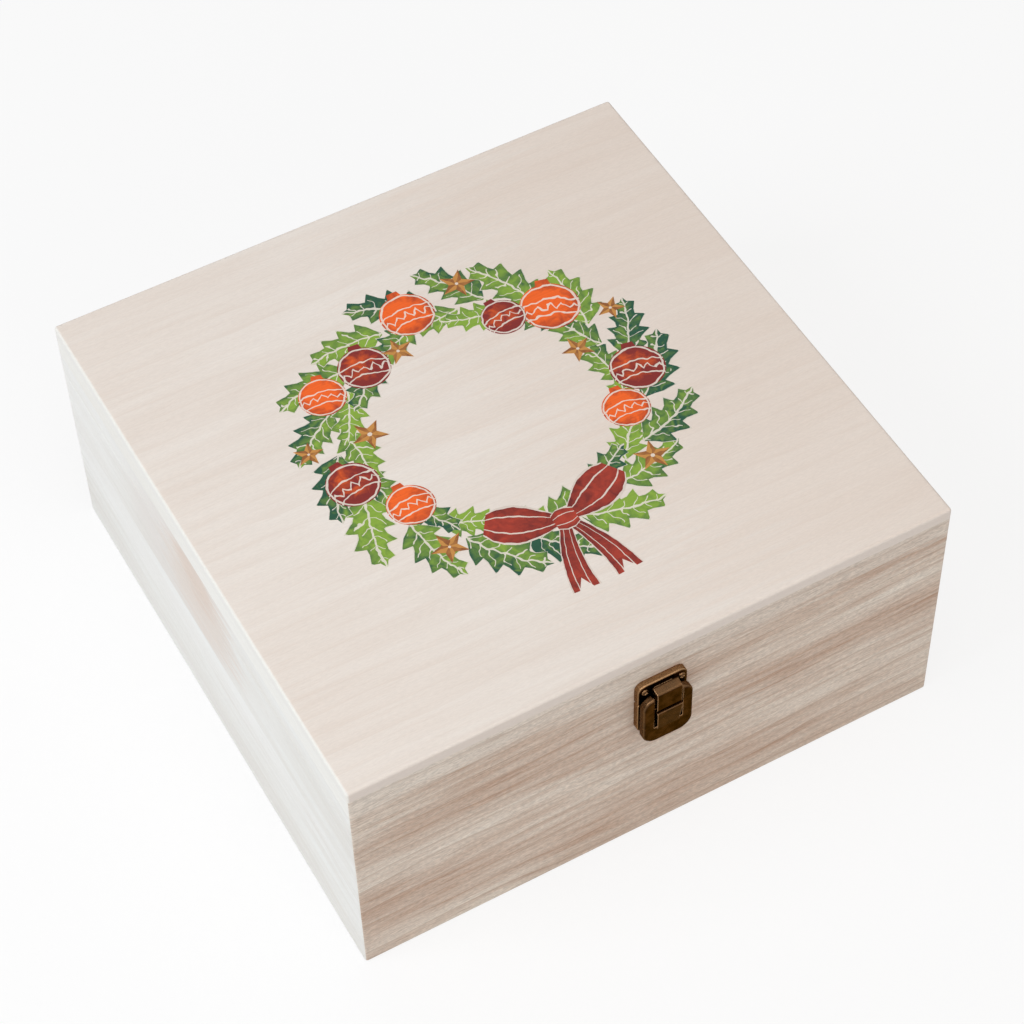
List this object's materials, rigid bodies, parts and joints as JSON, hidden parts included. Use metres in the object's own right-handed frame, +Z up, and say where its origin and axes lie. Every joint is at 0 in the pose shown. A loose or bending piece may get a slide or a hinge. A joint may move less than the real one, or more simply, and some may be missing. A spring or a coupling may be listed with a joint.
{
  "type": "keepsake box",
  "caption": "Square pale wooden keepsake box with mitred walls, a hinged lid with a printed top and an antique bronze draw latch at the front.",
  "frame": {"origin": "middle of the underside of the box", "axes": "+X along the front to the right as seen from the front, +Y from the latch to the hinges, +Z up"},
  "size_m": [0.3, 0.3162, 0.136],
  "materials": {
    "paulownia": "sanded bare wood with lengthwise grain",
    "paulownia_top": "sanded bare wood with a matt print",
    "plywood": "sanded thin plywood",
    "antique_bronze": "antiqued, worn bright at the edges",
    "bronze_screws": "antiqued, worn bright on the head"
  },
  "bodies": {
    "base": {"base_front_wall": "paulownia", "base_back_wall": "paulownia", "base_left_wall": "paulownia", "base_right_wall": "paulownia", "base_floor_panel": "plywood", "hinge_left_base_leaf": "antique_bronze", "hinge_left_pin": "antique_bronze", "hinge_right_base_leaf": "antique_bronze", "hinge_right_pin": "antique_bronze", "hinge_base_screws": "bronze_screws", "latch_anchor_plate": "antique_bronze", "latch_anchor_screws": "bronze_screws", "latch_lever_pin": "antique_bronze"},
    "lid": {"lid_front_rail": "paulownia", "lid_back_rail": "paulownia", "lid_left_rail": "paulownia", "lid_right_rail": "paulownia", "lid_top_panel": "paulownia_top", "hinge_left_lid_leaf": "antique_bronze", "hinge_right_lid_leaf": "antique_bronze", "hinge_lid_screws": "bronze_screws", "latch_strike_plate": "antique_bronze", "latch_strike_screws": "bronze_screws"},
    "latch_lever": {"latch_lever": "antique_bronze", "latch_link_pin": "antique_bronze"},
    "latch_link": {"latch_link": "antique_bronze"}
  },
  "joints": [
    {"name": "lid_hinge", "type": "hinge", "parent": "base", "child": "lid", "pos_m": [0, 0.1522, 0.105], "axis": [-1, 0, 0], "range_deg": [0, 105]},
    {"name": "latch_lever_pivot", "type": "hinge", "parent": "base", "child": "latch_lever", "pos_m": [0, -0.1564, 0.11], "axis": [-1, 0, 0], "range_deg": [0, 110]},
    {"name": "latch_link_pivot", "type": "hinge", "parent": "latch_lever", "child": "latch_link", "pos_m": [0, -0.1579, 0.1049], "axis": [-1, 0, 0], "range_deg": [-99, 0]}
  ],
  "couplings": [
    {"joint": "latch_link_pivot", "follows": "latch_lever_pivot", "ratio": -0.9}
  ]
}
